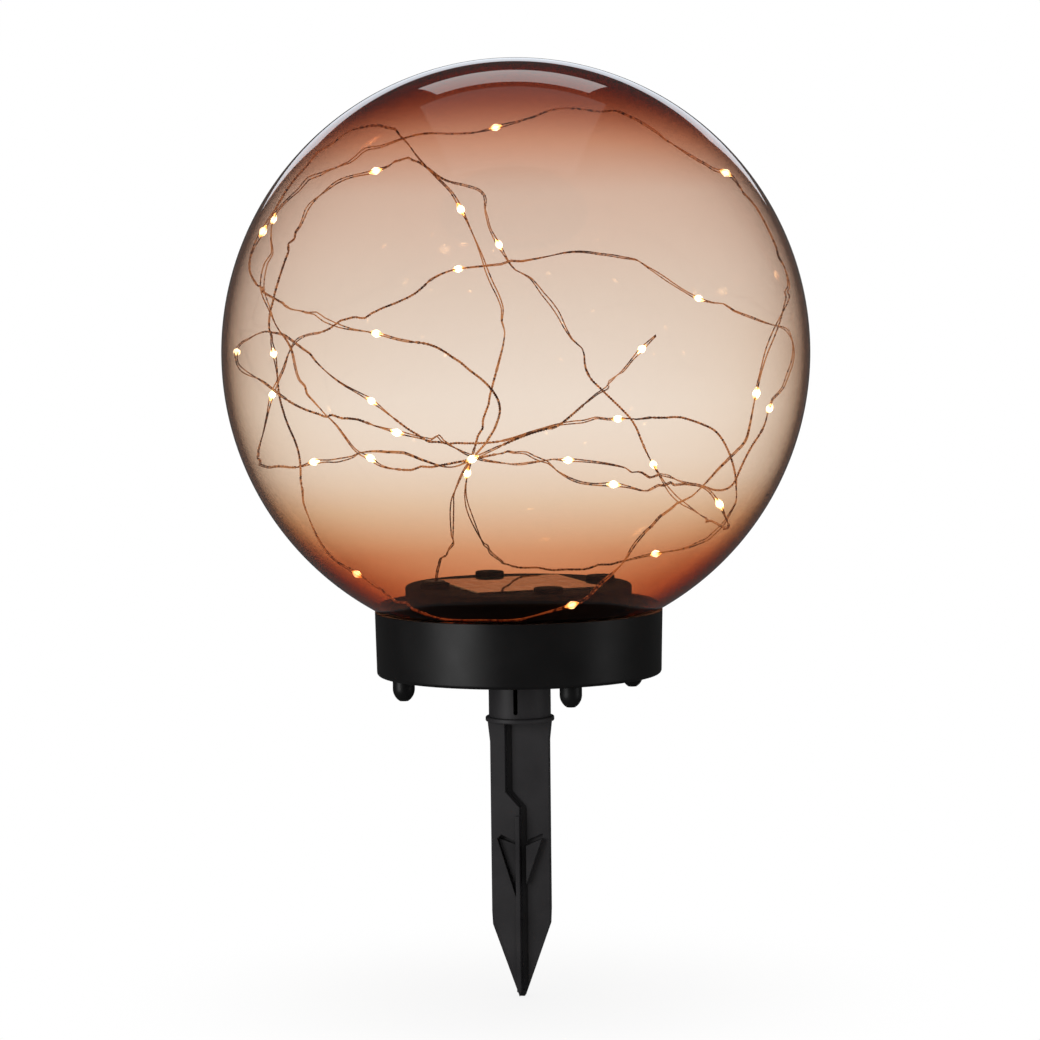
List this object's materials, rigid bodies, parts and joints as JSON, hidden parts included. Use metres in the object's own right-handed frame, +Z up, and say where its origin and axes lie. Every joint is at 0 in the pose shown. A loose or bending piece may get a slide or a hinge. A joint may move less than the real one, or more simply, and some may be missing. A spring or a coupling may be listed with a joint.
{
  "type": "solar bollard light",
  "caption": "Amber-tinted ball with a solar panel and a string of small lights inside, on a round footed base that pulls off a split collar on a pointed ground stake.",
  "frame": {"origin": "on the stake's axis, at the underside of the stake's flange, where the soil comes to", "axes": "+Z up along the stake's axis, front facing -Y, +X to the right in the front view"},
  "size_m": [0.2, 0.2, 0.3213],
  "materials": {
    "black_stake": "satin",
    "black_base": "satin",
    "amber_globe": "clear, amber tinted",
    "black_rubber": "matte",
    "white_pad": "matte",
    "board": "satin",
    "solar_cells": "gloss",
    "clear_cover": "gloss",
    "steel": "satin",
    "black_parts": "satin",
    "battery_wrap": "gloss",
    "contact_metal": "bright",
    "switch_knob": "satin",
    "lead_jacket": "satin",
    "copper_wire": "lacquered",
    "clear_bead": "gloss",
    "led_chip": "matte"
  },
  "bodies": {
    "stake": {"ground_stake": "black_stake"},
    "head": {"base_housing": "black_base", "globe": "amber_globe", "globe_gasket": "black_rubber", "solar_deck": "black_base", "panel_adhesive": "white_pad", "panel_backing": "board", "solar_cells": "solar_cells", "panel_cover": "clear_cover", "deck_screws": "steel", "screw_plugs": "black_base", "wire_grommet": "black_rubber", "circuit_board": "board", "board_screws": "steel", "driver_chip": "black_parts", "inductor": "black_parts", "capacitor": "black_parts", "battery_cell": "battery_wrap", "battery_contact": "contact_metal", "battery_spring": "contact_metal", "battery_door": "black_base", "door_seal": "black_rubber", "door_screw": "steel", "switch_body": "black_parts", "panel_leads": "lead_jacket", "battery_leads": "lead_jacket", "switch_leads": "lead_jacket", "string_lead": "lead_jacket", "string_wire": "copper_wire", "led_beads": "clear_bead", "led_chips": "led_chip"},
    "switch": {"switch_slider": "switch_knob"}
  },
  "joints": [
    {"name": "head_lift", "type": "slide", "parent": "stake", "child": "head", "axis": [0, 0, 1], "range_m": [0, 0.02]},
    {"name": "switch_slide", "type": "slide", "parent": "head", "child": "switch", "axis": [-0.3355, 0.9421, 0], "range_m": [0, 0.002]}
  ]
}
